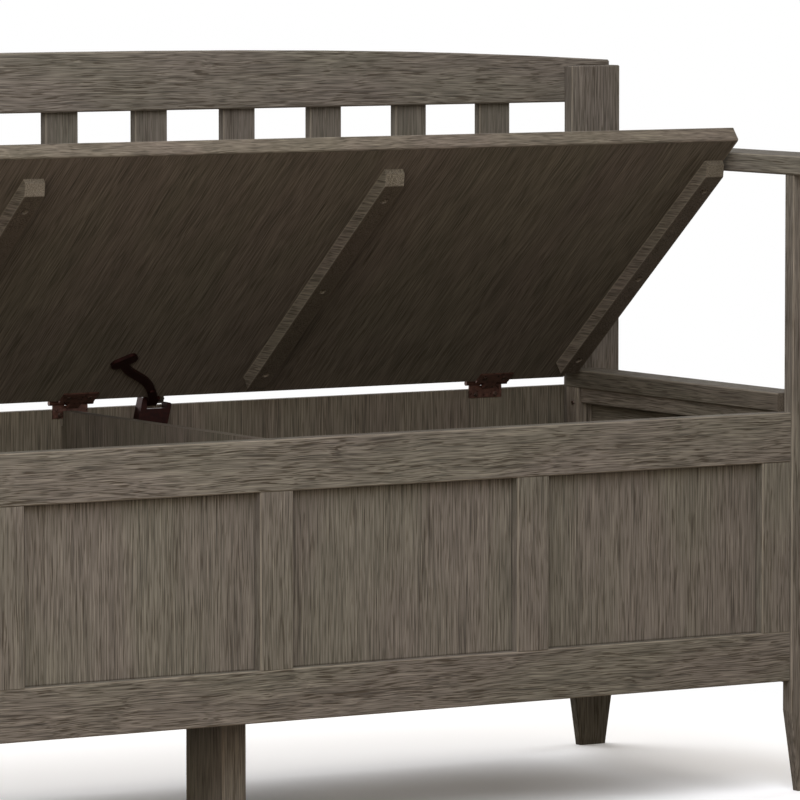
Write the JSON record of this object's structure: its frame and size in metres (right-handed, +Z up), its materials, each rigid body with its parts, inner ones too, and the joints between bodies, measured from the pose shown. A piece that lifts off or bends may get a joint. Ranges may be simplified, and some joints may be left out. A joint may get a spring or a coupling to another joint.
{
  "type": "storage bench",
  "caption": "Wooden entryway storage bench with a slatted arched back, flat arms, a panelled box and a hinged seat lid propped open on a stay.",
  "frame": {"origin": "centre of the bench's footprint, on the floor", "axes": "+X to the bench's right seen from the front, +Y to the back, +Z up"},
  "size_m": [1.219, 0.422, 0.6872],
  "materials": {
    "frame_wood": "wire-brushed grey-brown stain, satin",
    "panel_wood": "wire-brushed grey-brown stain, satin",
    "lid_wood": "wire-brushed grey-brown stain, satin",
    "bronze_metal": "dark bronze, satin",
    "screw_metal": "dark bronze, satin",
    "bright_steel": "bright"
  },
  "bodies": {
    "case": {"back_left_post": "frame_wood", "back_panel": "panel_wood", "back_right_post": "frame_wood", "back_slat_01": "frame_wood", "back_slat_02": "frame_wood", "back_slat_03": "frame_wood", "back_slat_04": "frame_wood", "back_slat_05": "frame_wood", "back_slat_06": "frame_wood", "back_slat_07": "frame_wood", "back_slat_08": "frame_wood", "back_slat_09": "frame_wood", "back_slat_10": "frame_wood", "back_slat_11": "frame_wood", "case_screws": "screw_metal", "centre_leg": "frame_wood", "crest_rail": "frame_wood", "divider": "panel_wood", "floor_panel": "panel_wood", "front_bottom_rail": "frame_wood", "front_centre_stile": "frame_wood", "front_left_end_stile": "frame_wood", "front_left_leg": "frame_wood", "front_left_stile": "frame_wood", "front_panel_1": "panel_wood", "front_panel_2": "panel_wood", "front_panel_3": "panel_wood", "front_panel_4": "panel_wood", "front_right_end_stile": "frame_wood", "front_right_leg": "frame_wood", "front_right_stile": "frame_wood", "front_top_rail": "frame_wood", "hinge_case_leaves": "bronze_metal", "left_arm": "frame_wood", "left_corner_cleat": "frame_wood", "left_seat_cleat": "frame_wood", "left_seat_filler": "frame_wood", "left_side_bottom_rail": "frame_wood", "left_side_panel": "panel_wood", "left_side_top_rail": "frame_wood", "lower_back_rail": "frame_wood", "right_arm": "frame_wood", "right_corner_cleat": "frame_wood", "right_seat_cleat": "frame_wood", "right_seat_filler": "frame_wood", "right_side_bottom_rail": "frame_wood", "right_side_panel": "panel_wood", "right_side_top_rail": "frame_wood", "stay_body": "bronze_metal", "stay_pivot": "bright_steel"},
    "lid": {"batten_screws": "screw_metal", "hinge_lid_leaves": "bronze_metal", "hinge_lid_screws": "screw_metal", "lid_batten_1": "lid_wood", "lid_batten_2": "lid_wood", "lid_batten_3": "lid_wood", "lid_batten_4": "lid_wood", "lid_panel": "lid_wood", "stay_arm": "bronze_metal"}
  },
  "joints": [
    {"name": "lid_hinge", "type": "hinge", "parent": "case", "child": "lid", "pos_m": [0, 0.1886, 0.3611], "axis": [-1, 0, 0], "range_deg": [-39.2, 36]}
  ]
}
